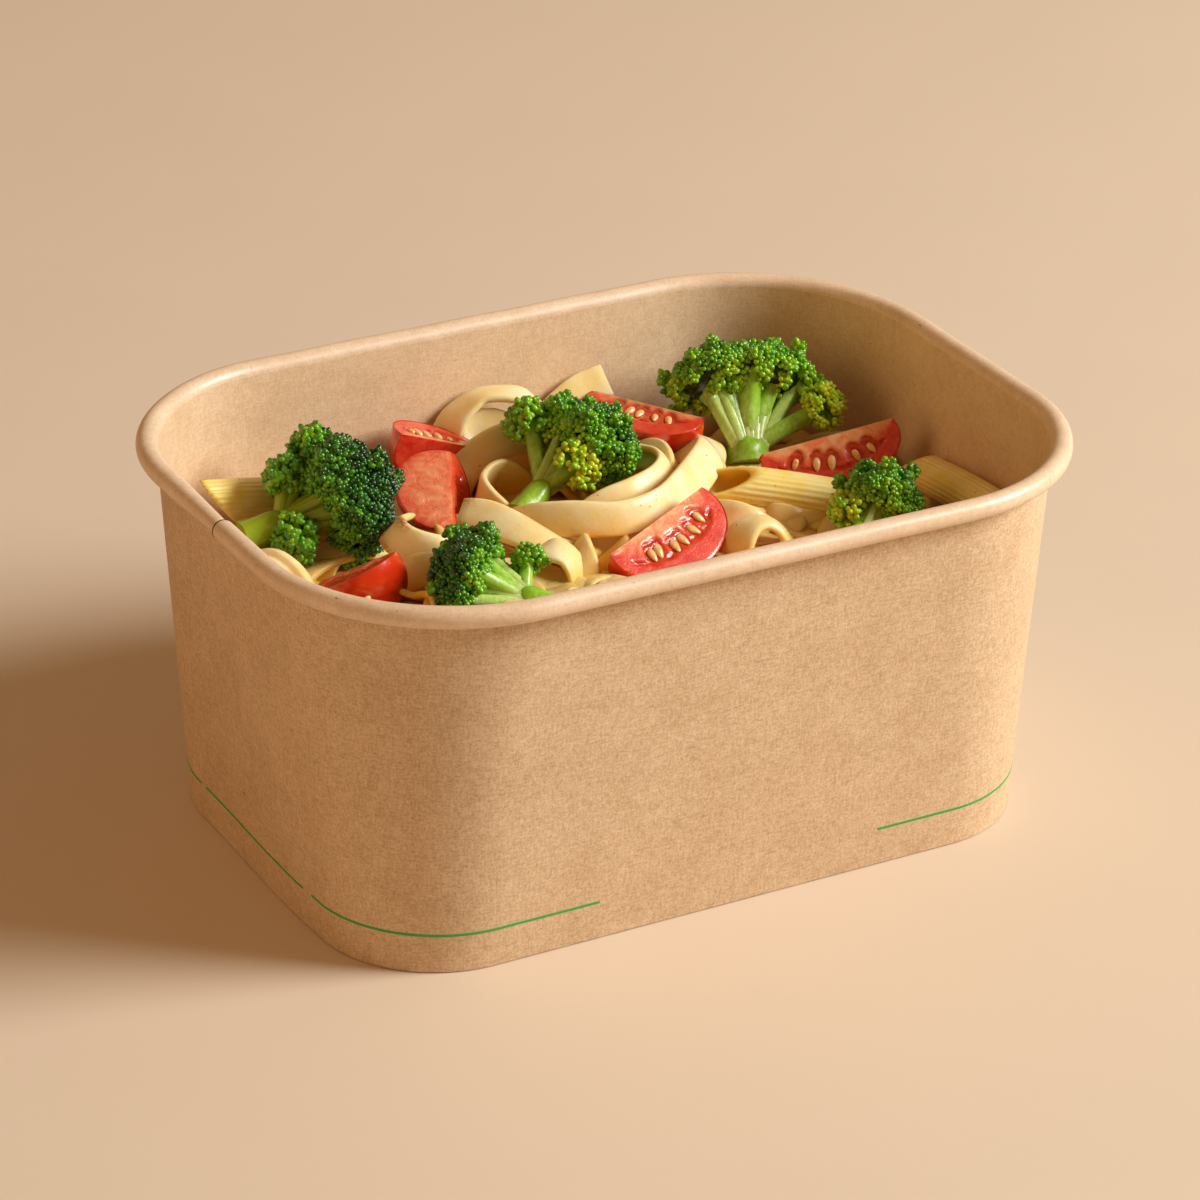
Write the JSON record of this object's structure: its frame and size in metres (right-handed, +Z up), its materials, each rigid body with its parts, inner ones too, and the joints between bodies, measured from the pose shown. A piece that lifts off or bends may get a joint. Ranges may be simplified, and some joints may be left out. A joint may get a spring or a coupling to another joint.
{
  "type": "takeaway pasta tub",
  "caption": "Open rectangular kraft paper takeaway tub with a rolled rim, holding ribbon pasta and penne with broccoli florets and tomato wedges.",
  "frame": {"origin": "centre of the tub's footprint, on the surface it stands on", "axes": "+X along the tub's long side, +Y along its short side away from the long face that is shown, +Z up out of the open top"},
  "size_m": [0.172, 0.125, 0.0799],
  "materials": {
    "paper": "matte kraft board, lightly coated inside",
    "pasta": "cooked pasta, glossy with oil",
    "broccoli": "blanched broccoli, satin",
    "tomato": "fresh tomato, glossy skin and wet cut faces"
  },
  "bodies": {
    "root": {"tub_sleeve": "paper", "tub_base": "paper", "pasta": "pasta", "penne_back_left": "pasta", "penne_right": "pasta", "penne_right_wall": "pasta", "penne_front_left": "pasta", "broccoli_left": "broccoli", "broccoli_centre": "broccoli", "broccoli_back_right": "broccoli", "broccoli_front": "broccoli", "broccoli_right": "broccoli", "broccoli_near": "broccoli", "broccoli_near_left": "broccoli", "tomato_back_left": "tomato", "tomato_left": "tomato", "tomato_front_left": "tomato", "tomato_back": "tomato", "tomato_front": "tomato", "tomato_right": "tomato", "tomato_near_left": "tomato", "tomato_near_right": "tomato"}
  },
  "joints": []
}
